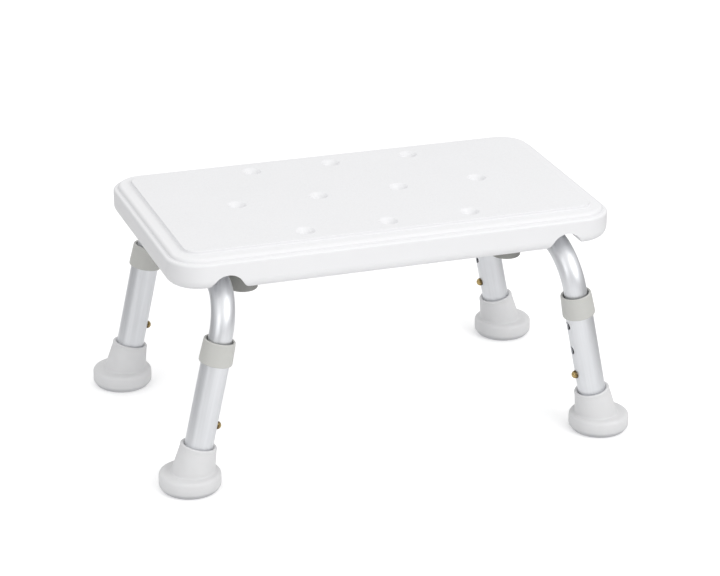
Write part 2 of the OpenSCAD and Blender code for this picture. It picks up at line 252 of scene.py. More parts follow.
def cut(obj, cutters):
    """Takes each cutter out of the object, in order."""
    for cutter in cutters:
        modifier = obj.modifiers.new("cut", "BOOLEAN")
        modifier.operation = "DIFFERENCE"
        modifier.solver = "EXACT"
        modifier.object = cutter
    applied(obj)
    for cutter in cutters:
        mesh = cutter.data
        bpy.data.objects.remove(cutter)
        bpy.data.meshes.remove(mesh)


def smooth(obj, angle=32):
    """Smooth shading that keeps edges above the angle sharp."""
    for polygon in obj.data.polygons:
        polygon.use_smooth = True
    obj.data.set_sharp_from_angle(angle=math.radians(angle))


def weigh_normals(obj):
    """Lets large flat faces keep their own direction."""
    modifier = obj.modifiers.new("flat faces", "WEIGHTED_NORMAL")
    modifier.keep_sharp = True
    modifier.weight = 100


def mark_along(obj, where=None):
    """Stores where(point) for each point, before the mesh is put in place."""
    layer = obj.data.attributes.new(ALONG, "FLOAT_VECTOR", "POINT")
    for i, vertex in enumerate(obj.data.vertices):
        layer.data[i].vector = where(vertex.co) if where else vertex.co


def finish_piece(obj, body, material, nodes=()):
    """Gives a piece its material in one slot, puts it on its body and hides the CAD nodes that it stands for."""
    obj.data.materials.clear()
    obj.data.materials.append(material)
    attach(obj, body)
    if nodes:
        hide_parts(*nodes)


def cad_copy(node, name, flat=0.2):
    """A welded copy of a CAD node's mesh, with its flat faces whole again."""
    bm = bmesh.new()
    bm.from_mesh(frame["nodes"][node].data)
    for layer in list(bm.loops.layers.uv.values()):
        bm.loops.layers.uv.remove(layer)
    bmesh.ops.remove_doubles(bm, verts=bm.verts, dist=2e-6)
    bmesh.ops.dissolve_degenerate(bm, dist=1e-6, edges=bm.edges)
    bmesh.ops.dissolve_limit(bm, angle_limit=math.radians(flat), use_dissolve_boundaries=False,
                             verts=bm.verts, edges=bm.edges)
    made = as_object(name, bm)
    if "custom_normal" in made.data.attributes:
        made.data.attributes.remove(made.data.attributes["custom_normal"])
    return made


def break_edges(obj, width, angle=40, segments=2):
    """A small bevel on every edge above the angle."""
    modifier = obj.modifiers.new("broken edges", "BEVEL")
    modifier.width = width
    modifier.segments = segments
    modifier.limit_method = "ANGLE"
    modifier.angle_limit = math.radians(angle)
    modifier.harden_normals = False


# ----------------------------------------------------------------- materials

SPECK = (0.45, 0.45, 0.46, 1.0)              # shade in the grain of the panel
SCUFF = (0.55, 0.55, 0.54, 1.0)              # rubbed places on the panel
PALE_SCUFF = (0.8, 0.8, 0.78, 1.0)           # rubbed places on grey mouldings
STAIN = (0.16, 0.10, 0.045, 1.0)             # tarnish on a button
PAINTED_ROOT_SHADE = (0.075, 0.05, 0.025, 1.0)            # painted shade: dark ring round a button's root, where it meets the tube
PAINTED_ROOT_SHADE_REACH = (13.2 * MM, 15.4 * MM)         # where the painted shade ring fades, from the leg's axis


def add(tree, kind, links=None, **settings):
    """A node with its settings, and its inputs linked or set."""
    made = tree.nodes.new(kind)
    for key, value in settings.items():
        setattr(made, key, value)
    for key, value in (links or {}).items():
        if isinstance(value, bpy.types.NodeSocket):
            tree.links.new(value, made.inputs[key])
        else:
            made.inputs[key].default_value = value
    return made


def maths(tree, operation, a, b=0.0, clamp=False):
    """One calculation on two values or links."""
    made = add(tree, "ShaderNodeMath", {0: a, 1: b}, operation=operation, use_clamp=clamp)
    return made.outputs[0]


def mapped(tree, value, low, high, to_low, to_high):
    """The value moved from one range to another, and held at its ends."""
    made = add(tree, "ShaderNodeMapRange", {"Value": value, "From Min": low, "From Max": high,
                                            "To Min": to_low, "To Max": to_high})
    return made.outputs["Result"]


def mixed(tree, factor, a, b, blend="MIX"):
    """A colour mix of two colours or links."""
    made = tree.nodes.new("ShaderNodeMix")
    made.data_type = "RGBA"
    made.blend_type = blend
    for key, value in (("Factor_Float", factor), ("A_Color", a), ("B_Color", b)):
        socket = next(s for s in made.inputs if s.identifier == key)
        if isinstance(value, bpy.types.NodeSocket):
            tree.links.new(value, socket)
        else:
            socket.default_value = value
    return next(s for s in made.outputs if s.identifier == "Result_Color")


def group(name, inputs, outputs):
    """An empty node group with its sockets, or None if it is there already."""
    if name in bpy.data.node_groups:
        return None
    tree = bpy.data.node_groups.new(name, "ShaderNodeTree")
    for key, kind in inputs.items():
        tree.interface.new_socket(name=key, in_out="INPUT", socket_type=kind)
    for key, kind in outputs.items():
        tree.interface.new_socket(name=key, in_out="OUTPUT", socket_type=kind)
    return tree


def noise(tree, vector, scale, detail=3.0, rough=0.5, stretch=None):
    """Noise values, with the vector stretched first if asked."""
    if stretch:
        vector = add(tree, "ShaderNodeMapping", {"Vector": vector, "Scale": stretch}).outputs[0]
    made = add(tree, "ShaderNodeTexNoise", {"Vector": vector, "Scale": scale, "Detail": detail,
                                            "Roughness": rough})
    return made.outputs[0]


def make_groups():
    """The shared effects: mottle, scuffs, grain and drawn streaks."""
    tree = group("mottle", {"Vector": "NodeSocketVector", "Color": "NodeSocketColor",
                            "Scale": "NodeSocketFloat", "Amount": "NodeSocketFloat"},
                 {"Color": "NodeSocketColor"})
    if tree:
        given = tree.nodes.new("NodeGroupInput").outputs
        broad = noise(tree, given["Vector"], given["Scale"], 4.0, 0.55)
        shade = maths(tree, "MULTIPLY_ADD", maths(tree, "SUBTRACT", broad, 0.5), given["Amount"])
        shade.node.inputs[2].default_value = 1.0
        grey = add(tree, "ShaderNodeCombineColor", {0: shade, 1: shade, 2: shade}).outputs[0]
        out = mixed(tree, 1.0, given["Color"], grey, "MULTIPLY")
        tree.links.new(out, tree.nodes.new("NodeGroupOutput").inputs["Color"])
    tree = group("scuffs", {"Vector": "NodeSocketVector", "Scale": "NodeSocketFloat",
                            "Cover": "NodeSocketFloat"}, {"Mask": "NodeSocketFloat"})
    if tree:
        given = tree.nodes.new("NodeGroupInput").outputs
        lines = noise(tree, given["Vector"], given["Scale"], 2.0, 0.4, (1.0, 6.0, 2.0))
        thin = maths(tree, "ABSOLUTE", maths(tree, "SUBTRACT", lines, 0.5))
        line = mapped(tree, thin, 0.0, 0.012, 1.0, 0.0)
        where = noise(tree, given["Vector"], maths(tree, "MULTIPLY", given["Scale"], 0.35), 2.0)
        patch = mapped(tree, maths(tree, "ADD", where, given["Cover"]), 0.62, 0.78, 0.0, 1.0)
        mask = maths(tree, "MULTIPLY", line, patch, True)
        tree.links.new(mask, tree.nodes.new("NodeGroupOutput").inputs["Mask"])
    tree = group("moulded grain", {"Vector": "NodeSocketVector", "Scale": "NodeSocketFloat"},
                 {"Height": "NodeSocketFloat"})
    if tree:
        given = tree.nodes.new("NodeGroupInput").outputs
        cells = add(tree, "ShaderNodeTexVoronoi", {"Vector": given["Vector"], "Scale": given["Scale"]},
                    feature="SMOOTH_F1").outputs["Distance"]
        speck = noise(tree, given["Vector"], maths(tree, "MULTIPLY", given["Scale"], 1.7), 2.0)
        coarse, fine = maths(tree, "MULTIPLY", cells, 0.7), maths(tree, "MULTIPLY", speck, 0.5)
        height = maths(tree, "ADD", coarse, fine)
        tree.links.new(height, tree.nodes.new("NodeGroupOutput").inputs["Height"])
    tree = group("drawn streaks", {"Vector": "NodeSocketVector", "Scale": "NodeSocketFloat"},
                 {"Value": "NodeSocketFloat"})
    if tree:
        given = tree.nodes.new("NodeGroupInput").outputs
        fine = noise(tree, given["Vector"], given["Scale"], 5.0, 0.6, (1.0, 1.0, 0.012))
        wide = noise(tree, given["Vector"], maths(tree, "MULTIPLY", given["Scale"], 0.2), 2.0, 0.5,
                     (1.0, 1.0, 0.03))
        thin, broad = maths(tree, "MULTIPLY", fine, 0.65), maths(tree, "MULTIPLY", wide, 0.35)
        value = maths(tree, "ADD", thin, broad)
        tree.links.new(value, tree.nodes.new("NodeGroupOutput").inputs["Value"])


def use(tree, name, links):
    """A group node with its inputs linked or set."""
    made = tree.nodes.new("ShaderNodeGroup")
    made.node_tree = bpy.data.node_groups[name]
    for key, value in links.items():
        if isinstance(value, bpy.types.NodeSocket):
            tree.links.new(value, made.inputs[key])
        else:
            made.inputs[key].default_value = value
    return made.outputs[0]


def new_material(name, **values):
    """A material with one Principled shader; returns it, its tree, shader and coordinates."""
    material = bpy.data.materials.new(name)
    material.use_nodes = True
    tree = material.node_tree
    shader = tree.nodes["Principled BSDF"]
    for key, value in values.items():
        shader.inputs[key.replace("_", " ")].default_value = value
    place = add(tree, "ShaderNodeTexCoord").outputs["Object"]
    return material, tree, shader, place


def along(tree):
    """Places that follow the piece, from the attribute that mark_along stores."""
    made = add(tree, "ShaderNodeAttribute", attribute_name=ALONG, attribute_type="GEOMETRY")
    return made.outputs["Vector"]


def opaque(rgb):
    """The colour with full cover."""
    return (*rgb, 1.0)


def bump(tree, shader, height, depth, strength):
    """Gives the shader a bump of the height, with the depth in metres."""
    made = add(tree, "ShaderNodeBump", {"Height": height, "Strength": strength, "Distance": depth})
    tree.links.new(made.outputs["Normal"], shader.inputs["Normal"])


def seat_material(colours, seat):
    """White moulded plastic: grain on the raised panel, faint scuffs where it is used."""
    name = "white moulded plastic"
    if name in bpy.data.materials:
        return bpy.data.materials[name]
    material, tree, shader, place = new_material(name, IOR=1.49)
    axes = add(tree, "ShaderNodeSeparateXYZ", {"Vector": place}).outputs
    on_panel = mapped(tree, axes["Z"], seat.top - 0.8 * MM, seat.top - 0.1 * MM, 0.0, 1.0)
    grain = use(tree, "moulded grain", {"Vector": place, "Scale": 620.0})
    scuff = use(tree, "scuffs", {"Vector": place, "Scale": 45.0, "Cover": 0.02})
    worn = maths(tree, "MULTIPLY", scuff, on_panel)
    tint = use(tree, "mottle", {"Vector": place, "Color": opaque(colours.seat), "Scale": 18.0,
                                "Amount": 0.03})
    speck = mapped(tree, grain, 0.3, 0.9, 0.0, 0.10)
    dark = mixed(tree, maths(tree, "MULTIPLY", speck, on_panel), tint, SPECK)
    tree.links.new(mixed(tree, maths(tree, "MULTIPLY", worn, 0.12), dark, SCUFF),
                   shader.inputs["Base Color"])
    broad = noise(tree, place, 30.0, 3.0)
    rough = maths(tree, "ADD", mapped(tree, broad, 0.3, 0.7, 0.36, 0.44),
                  maths(tree, "MULTIPLY", on_panel, 0.12))
    rubbed = maths(tree, "MULTIPLY", worn, 0.15)
    tree.links.new(maths(tree, "ADD", rough, rubbed), shader.inputs["Roughness"])
    fine = noise(tree, place, 900.0, 2.0)
    share = maths(tree, "MULTIPLY", grain, on_panel)
    bump(tree, shader, maths(tree, "ADD", share, maths(tree, "MULTIPLY", fine, 0.12)), 0.22 * MM, 0.6)
    return material


def metal_material(name, rgb, low, high, scale, place_from="object", depth=0.02, tarnish_and_root_shade=0.0):
    """Drawn or rolled metal: streaks along the piece, faint stains and handling scratches. With
    tarnish_and_root_shade, also tarnished spots and painted shade: a dark ring at a button's root, where it meets
    the tube.
    """
    if name in bpy.data.materials:
        return bpy.data.materials[name]
    material, tree, shader, place = new_material(name, Metallic=1.0)
    vector = along(tree) if place_from == "along" else place
    streak = use(tree, "drawn streaks", {"Vector": vector, "Scale": scale})
    scuff = use(tree, "scuffs", {"Vector": vector, "Scale": 60.0, "Cover": 0.04})
    tint = use(tree, "mottle", {"Vector": vector, "Color": opaque(rgb), "Scale": 22.0, "Amount": 0.08})
    shade = mapped(tree, streak, 0.3, 0.7, 0.95, 1.04)
    grey = add(tree, "ShaderNodeCombineColor", {0: shade, 1: shade, 2: shade}).outputs[0]
    base = mixed(tree, 1.0, tint, grey, "MULTIPLY")
    if tarnish_and_root_shade:
        spots = mapped(tree, noise(tree, vector, 260.0, 4.0, 0.6), 0.48, 0.7, 0.0, tarnish_and_root_shade)
        base = mixed(tree, spots, base, STAIN)
        reach = add(tree, "ShaderNodeSeparateXYZ", {"Vector": vector}).outputs["Z"]
        # painted shade: darkens the button's root next to the tube
        base = mixed(tree, mapped(tree, reach, *PAINTED_ROOT_SHADE_REACH, 0.85, 0.0), base, PAINTED_ROOT_SHADE)
    tree.links.new(base, shader.inputs["Base Color"])
    rough = mapped(tree, streak, 0.3, 0.7, low, high)
    rubbed = maths(tree, "MULTIPLY", scuff, 0.12)
    tree.links.new(maths(tree, "ADD", rough, rubbed), shader.inputs["Roughness"])
    height = maths(tree, "SUBTRACT", streak, maths(tree, "MULTIPLY", scuff, 0.3))
    bump(tree, shader, height, depth * MM, 0.5)
    return material


def tube_material(colours):
    """Satin drawn aluminium, whose streaks run along each tube."""
    return metal_material("drawn aluminium", colours.tube, 0.38, 0.5, 900.0, "along")


def moulded_material(name, rgb, low, high, grain_scale, depth, place_from="object", ior=1.48):
    """Moulded plastic or rubber: spark-eroded grain, mottle and faint scuffs."""
    if name in bpy.data.materials:
        return bpy.data.materials[name]
    material, tree, shader, place = new_material(name, IOR=ior)
    vector = along(tree) if place_from == "along" else place
    grain = use(tree, "moulded grain", {"Vector": vector, "Scale": grain_scale})
    scuff = use(tree, "scuffs", {"Vector": vector, "Scale": 90.0, "Cover": 0.05})
    tint = use(tree, "mottle", {"Vector": vector, "Color": opaque(rgb), "Scale": 60.0, "Amount": 0.10})
    tree.links.new(mixed(tree, maths(tree, "MULTIPLY", scuff, 0.25), tint, PALE_SCUFF),
                   shader.inputs["Base Color"])
    broad = noise(tree, vector, 80.0, 3.0)
    tree.links.new(mapped(tree, broad, 0.3, 0.7, low, high), shader.inputs["Roughness"])
    bump(tree, shader, grain, depth * MM, 0.5)
    return material


# ----------------------------------------------------------------- operators

class STOOL_OT_seat(Operator):
    """Moulds the seat: profile steps up and down from its outline, then wells and notches"""
    bl_idname = "stool.seat"
    bl_label = "Seat"

    def edge_steps(self, seat):
        """(inset, height) pairs up the edge, and down it."""
        rim = seat.top - seat.panel_rise
        shoulder, shoulder_r = rim - 3.6 * MM, 2.4 * MM
        crease, bead_r = 4.2 * MM, 3.4 * MM
        foot_r, lip_r = 1.4 * MM, 0.9 * MM
        soft, dip = 0.25 * MM, 0.02 * MM
        inset = seat.panel_inset
        low = seat.bottom + seat.low_edge
        up = [(0.0, shoulder - shoulder_r)]
        up += arc(shoulder_r, shoulder - shoulder_r, shoulder_r, 180, 90, 6)[1:]
        up += [(crease - soft, shoulder + dip), (crease, shoulder + 0.3 * MM)]
        up += arc(crease + bead_r, rim - bead_r, bead_r, 176, 90, 10)
        up += arc(inset - foot_r, rim + foot_r, foot_r, 270, 360, 5)
        up += arc(inset + lip_r, seat.top - lip_r, lip_r, 180, 90, 4)
        down = arc(seat.low_edge, low, seat.low_edge, 180, 270, 10)[1:]
        return low, up, down

    def walk(self, bm, face, start, steps):
        """Insets and lifts the face along the steps."""
        inset, height = start
        for to_inset, to_height in steps:
            if to_inset - inset > 1e-7:
                bmesh.ops.inset_region(bm, faces=[face], thickness=to_inset - inset,
                                       use_even_offset=True, use_boundary=True)
                bmesh.ops.translate(bm, verts=face.verts, vec=(0, 0, to_height - height))
            else:
                made = bmesh.ops.extrude_face_region(bm, geom=[face])["geom"]
                if face.is_valid:
                    bmesh.ops.delete(bm, geom=[face], context="FACES_ONLY")
                face = next(f for f in made if isinstance(f, bmesh.types.BMFace))
                bmesh.ops.translate(bm, verts=face.verts, vec=(0, 0, to_height - height))
            inset, height = max(inset, to_inset), to_height

    def plate(self, seat, mesh):
        """The seat before its wells and notches are cut."""
        low, up, down = self.edge_steps(seat)
        bm = bmesh.new()
        outline = Matrix.Translation((0, 0, low)) @ Matrix.Diagonal((seat.length, seat.width, 1, 1))
        bmesh.ops.create_grid(bm, x_segments=1, y_segments=1, size=0.5, matrix=outline)
        bmesh.ops.bevel(bm, geom=bm.verts[:], offset=seat.corner, offset_type="OFFSET",
                        segments=mesh.corner_steps, profile=0.5, affect="VERTICES", material=-1)
        base = bm.faces[:][0]
        made = bmesh.ops.extrude_face_region(bm, geom=[base], use_keep_orig=True)["geom"]
        top = next(f for f in made if isinstance(f, bmesh.types.BMFace))
        bmesh.ops.translate(bm, verts=top.verts, vec=(0, 0, up[0][1] - low))
        self.walk(bm, top, up[0], up[1:])
        self.walk(bm, base, (0.0, low), down)
        bmesh.ops.recalc_face_normals(bm, faces=bm.faces)
        self.raise_lobes(bm, seat)
        return as_object("seat_shell", bm)

    def raise_lobes(self, bm, seat):
        """Lifts the underside and the lower edge outboard of the tubes."""
        step = 0.3 * MM
        for side in (LEFT, RIGHT):
            for x in (seat.lobe_x, seat.lobe_x + step):
                bmesh.ops.bisect_plane(bm, geom=bm.verts[:] + bm.edges[:] + bm.faces[:], dist=1e-7,
                                       plane_co=(side * x, 0, 0), plane_no=(1, 0, 0))
        for vertex in bm.verts:
            outboard = abs(vertex.co.x) > seat.lobe_x + step / 2
            if outboard and vertex.co.z < seat.bottom + seat.low_edge + 1e-6:
                vertex.co.z += seat.lobe_rise

    def wells(self, seat, mesh):
        """One cutter for all ten drain wells."""
        bm = bmesh.new()
        lip, above, lift = 0.7 * MM, 3 * MM, 0.01 * MM
        steps, floor_r = 12, seat.well_hole + lip
        dish = [(0.0, above), (seat.well_radius, above)]
        for i in range(steps + 1):
            t = i / steps
            dish.append((seat.well_radius + (floor_r - seat.well_radius) * t,
                         lift - seat.well_depth * t * t * (3 - 2 * t)))
        dish += arc(floor_r, -seat.well_depth - lip, lip, 90, 180, 3)[1:]
        below = seat.bottom - seat.top - 1 * MM
        dish += [(seat.well_hole, below), (0.0, below)]
        ring_profile(bm, dish, mesh.round_steps // 3 * 2)
        bmesh.ops.translate(bm, verts=bm.verts, vec=(0, 0, seat.top))
        one = bm.verts[:] + bm.edges[:] + bm.faces[:]
        spots = [(i * seat.well_pitch, row * seat.well_rows) for i in (-1, 0, 1) for row in (-1, 1)]
        spots += [(i * seat.well_pitch, 0.0) for i in (-1.5, -0.5, 0.5, 1.5)]
        for x, y in spots[1:]:
            new = bmesh.ops.duplicate(bm, geom=one)["geom"]
            verts = [v for v in new if isinstance(v, bmesh.types.BMVert)]
            bmesh.ops.translate(bm, verts=verts, vec=(x, y, 0))
        bmesh.ops.translate(bm, verts=[v for v in one if isinstance(v, bmesh.types.BMVert)],
                            vec=(*spots[0], 0))
        return as_object("wells", bm)

    def notches(self, seat):
        """One cutter for the four arches."""
        bm = bmesh.new()
        r, blend, below, past = seat.notch_radius, seat.notch_blend, 2 * MM, 5 * MM
        spread = math.sqrt((r + blend) ** 2 - blend ** 2)
        lean = math.degrees(math.atan2(blend, spread))
        right = arc(spread, blend, blend, 268, 180 + lean, 8)
        top = arc(0, 0, r, lean, 180 - lean, 20)
        left = [(-x, z) for x, z in reversed(right)]
        outline = [(spread, -below)] + right + top[1:-1] + left + [(-spread, -below)]
        inner_y = seat.width / 2 - seat.notch_depth
        for side in (LEFT, RIGHT):
            for end in (FRONT, BACK):
                place = Matrix.Translation((side * seat.notch_x, end * inner_y, seat.bottom))
                extruded_outline(bm, outline, end * (seat.notch_depth + past), place)
        bmesh.ops.recalc_face_normals(bm, faces=bm.faces)
        return as_object("notches", bm)

    def channels(self, seat, mesh):
        """One cutter for both level runs of the tubes."""
        bm = bmesh.new()
        radius = bpy.context.scene.stool_legs.inner_radius + FIT
        overlap = 1 * MM
        reach = seat.width - 2 * (seat.notch_depth - overlap)
        for side in (LEFT, RIGHT):
            place = Matrix.Translation((side * seat.run_x, 0, seat.bottom - seat.run_sink))
            bmesh.ops.create_cone(bm, cap_ends=True, segments=mesh.round_steps, radius1=radius,
                                  radius2=radius, depth=reach,
                                  matrix=place @ Matrix.Rotation(math.pi / 2, 4, "X"))
        return as_object("channels", bm)

    def execute(self, context):
        scene = context.scene
        seat, mesh = scene.stool_seat, scene.stool_mesh
        shell = self.plate(seat, mesh)
        cut(shell, [self.wells(seat, mesh), self.notches(seat), self.channels(seat, mesh)])
        bm = bmesh.new()
        bm.from_mesh(shell.data)
        bmesh.ops.remove_doubles(bm, verts=bm.verts, dist=2e-6)
        bmesh.ops.dissolve_degenerate(bm, dist=1e-6, edges=bm.edges)
        bm.to_mesh(shell.data)
        bm.free()
        fewest = 500
        if len(shell.data.polygons) < fewest:
            raise RuntimeError("the seat lost its faces when the wells and notches were cut")
        smooth(shell)
        weigh_normals(shell)
        material = seat_material(scene.stool_colours, seat)
        finish_piece(shell, "stool_frame", material, ["seat"])
        return {"FINISHED"}


class STOOL_OT_frame_tubes(Operator):
    """Finishes the two bent inner tubes, with streaks that follow their bends"""
    bl_idname = "stool.frame_tubes"
    bl_label = "Frame tubes"

    def along_path(self, side, legs):
        """Gives a point's place across and along the bent path."""
        level = TUBE_TOP - legs.inner_radius
        low = leg_matrix(side, FRONT)
        up, inward = low.col[2].to_3d(), low.col[0].to_3d()
        origin = low.translation + up * ((level - low.translation.z) / up.z)
        half = legs.leg_y - legs.bend

        def where(point):
            x, z = (point - origin).dot(inward), (point - origin).dot(up)
            y, hand = abs(point.y), math.copysign(1, point.y)
            if y <= half:
                return x, z, point.y
            if z < -legs.bend:
                done = half + legs.bend * math.pi / 2
                return x, y - legs.leg_y, hand * (done - legs.bend - z)
            turn = math.atan2(y - half, z + legs.bend)
            return x, math.hypot(y - half, z + legs.bend) - legs.bend, hand * (half + turn * legs.bend)

        return where

    def execute(self, context):
        scene = context.scene
        material = tube_material(scene.stool_colours)
        for side in (LEFT, RIGHT):
            node = f"frame_tube_{SIDE_NAMES[side]}"
            tube = cad_copy(node, f"bent_tube_{SIDE_NAMES[side]}")
            mark_along(tube, self.along_path(side, scene.stool_legs))
            smooth(tube)
            weigh_normals(tube)
            finish_piece(tube, "stool_frame", material, [node])
        return {"FINISHED"}


class STOOL_OT_outer_tubes(Operator):
    """Finishes the four sliding tubes with their height holes"""
    bl_idname = "stool.outer_tubes"
    bl_label = "Outer tubes"

    def execute(self, context):
        scene = context.scene
        material = tube_material(scene.stool_colours)
        for side, end in LEGS:
            name = leg_name(side, end)
            tube = cad_copy(f"outer_tube_{name}", f"sliding_tube_{name}")
            back = leg_matrix(side, end).inverted()
            mark_along(tube, lambda point: back @ point)
            smooth(tube)
            weigh_normals(tube)
            finish_piece(tube, f"leg_{name}", material, [f"outer_tube_{name}"])
        return {"FINISHED"}


class STOOL_OT_collars(Operator):
    """Spins the four plastic collars, with a round rim and a lip over the tube"""
    bl_idname = "stool.collars"
    bl_label = "Collars"

    def profile(self, legs):
        """Radius and height along the leg, round the collar's wall."""
        low, high = legs.collar_top - legs.collar_height, legs.collar_top
        rim_bead = (legs.collar_rim - legs.collar_mouth) / 2
        rim_x, rim_z = legs.collar_mouth + rim_bead, high - rim_bead
        bore, shelf = legs.outer_radius + FIT, high - 3.45 * MM
        edge, lead = 1.2 * MM, 0.3 * MM
        points = [(bore, low + lead), (bore + lead, low)]
        points += arc(legs.collar_skirt - edge, low + edge, edge, 270, 356, 6)
        points += [(legs.collar_skirt, low + edge + 0.6 * MM)]
        points += [(legs.collar_rim + 0.15 * MM, rim_z - 2.2 * MM), (legs.collar_rim, rim_z - 0.9 * MM)]
        points += arc(rim_x, rim_z, rim_bead, 0, 180, 12)
        points += [(legs.collar_mouth, shelf), (bore, shelf), (bore, low + lead)]
        return points

    def execute(self, context):
        scene = context.scene
        material = moulded_material("warm grey plastic", scene.stool_colours.collar, 0.34, 0.46,
                                    1500.0, 0.03, "along")
        for side, end in LEGS:
            name = leg_name(side, end)
            bm = bmesh.new()
            ring_profile(bm, self.profile(scene.stool_legs), scene.stool_mesh.round_steps)
            collar = as_object(f"collar_{name}", bm)
            mark_along(collar)
            collar.data.transform(leg_matrix(side, end))
            smooth(collar, 40)
            weigh_normals(collar)
            finish_piece(collar, f"leg_{name}", material, [f"leg_collar_{name}"])
        return {"FINISHED"}


class STOOL_OT_feet(Operator):
    """Moulds the four rubber feet, with every edge and joint rounded"""
    bl_idname = "stool.feet"
    bl_label = "Feet"

    def execute(self, context):
        scene = context.scene
        material = moulded_material("pale grey rubber", scene.stool_colours.foot, 0.5, 0.62,
                                    1300.0, 0.04, "along", 1.5)
        smoothings = 3
        for side, end in LEGS:
            name = leg_name(side, end)
            node = f"foot_tip_{name}"
            low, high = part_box(node)
            foot = cad_copy(node, f"foot_{name}")
            modifier = foot.modifiers.new("round", "REMESH")
            modifier.mode = "VOXEL"
            modifier.voxel_size = scene.stool_legs.foot_voxel
            applied(foot)
            bm = bmesh.new()
            bm.from_mesh(foot.data)
            for _ in range(smoothings):
                bmesh.ops.smooth_vert(bm, verts=bm.verts, factor=0.5, use_axis_x=True, use_axis_y=True,
                                      use_axis_z=True)
            for vertex in bm.verts:
                for axis in range(3):
                    vertex.co[axis] = min(max(vertex.co[axis], low[axis]), high[axis])
            bm.to_mesh(foot.data)
            bm.free()
            back = leg_matrix(side, end).inverted()
            mark_along(foot, lambda point: back @ point)
            smooth(foot, 60)
            finish_piece(foot, f"leg_{name}", material, [node])
        return {"FINISHED"}


class STOOL_OT_brackets(Operator):
    """Finishes the four saddle brackets, with broken edges"""
    bl_idname = "stool.brackets"
    bl_label = "Brackets"

    def execute(self, context):
        scene = context.scene
        material = moulded_material("grey bracket plastic", scene.stool_colours.bracket, 0.42, 0.55,
                                    1200.0, 0.05)
        for side, end in LEGS:
            name = leg_name(side, end)
            node = f"saddle_bracket_{name}"
            bracket = cad_copy(node, f"bracket_{name}")
            break_edges(bracket, scene.stool_legs.bracket_edge)
            smooth(bracket)
            weigh_normals(bracket)
            finish_piece(bracket, "stool_frame", material, [node])
        return {"FINISHED"}


class STOOL_OT_buttons(Operator):
    """Spins the four brass snap buttons"""
    bl_idname = "stool.buttons"
    bl_label = "Snap buttons"

    def profile(self, legs):
        """Radius and distance from the leg's axis, from the flange to the dome."""
        tip = legs.outer_radius + legs.button_proud
        flange_x, flange_r, flange_h = 6.7 * MM, 4.8 * MM, 1.0 * MM
        r, edge, root = legs.button_radius, 0.2 * MM, 0.15 * MM
        points = [(0.0, flange_x), (flange_r - edge, flange_x), (flange_r, flange_x + edge)]
        points += [(flange_r, flange_x + flange_h - edge), (flange_r - edge, flange_x + flange_h)]
        points += [(r + root, flange_x + flange_h), (r, flange_x + flange_h + root)]
        points += arc(0, tip - r, r, 0, 90, 14)
        return points

    def execute(self, context):
        scene = context.scene
        legs = scene.stool_legs
        # the last value gives tarnished spots and a painted shade ring at the button's root
        material = metal_material("polished brass", scene.stool_colours.brass, 0.16, 0.28, 1800.0,
                                  "along", 0.01, 0.5)
        for side, end in LEGS:
            name = leg_name(side, end)
            bm = bmesh.new()
            ring_profile(bm, self.profile(legs), scene.stool_mesh.round_steps // 3 * 2)
            button = as_object(f"button_{name}", bm)
            mark_along(button)
            aim = Matrix.Translation((0, 0, legs.first_hole)) @ Matrix.Rotation(math.pi / 2, 4, "Y")
            button.data.transform(leg_matrix(side, end) @ aim)
            smooth(button, 40)
            finish_piece(button, f"button_{name}", material, [f"snap_button_{name}"])
        return {"FINISHED"}


class STOOL_OT_fittings(Operator):
    """Gives the screws, foot washers and strip springs their finishes"""
    bl_idname = "stool.fittings"
    bl_label = "Screws, washers and springs"

    def execute(self, context):
        colours = context.scene.stool_colours
        zinc = metal_material("zinc plated steel", colours.zinc, 0.3, 0.5, 700.0)
        spring = metal_material("spring strip", colours.spring, 0.25, 0.4, 1400.0)
        for name, obj in frame["nodes"].items():
            chosen = spring if name.startswith("snap_spring") else zinc
            if name.startswith(("snap_spring", "bracket_screws", "foot_washer")):
                obj.data.materials.clear()
                obj.data.materials.append(chosen)
        return {"FINISHED"}


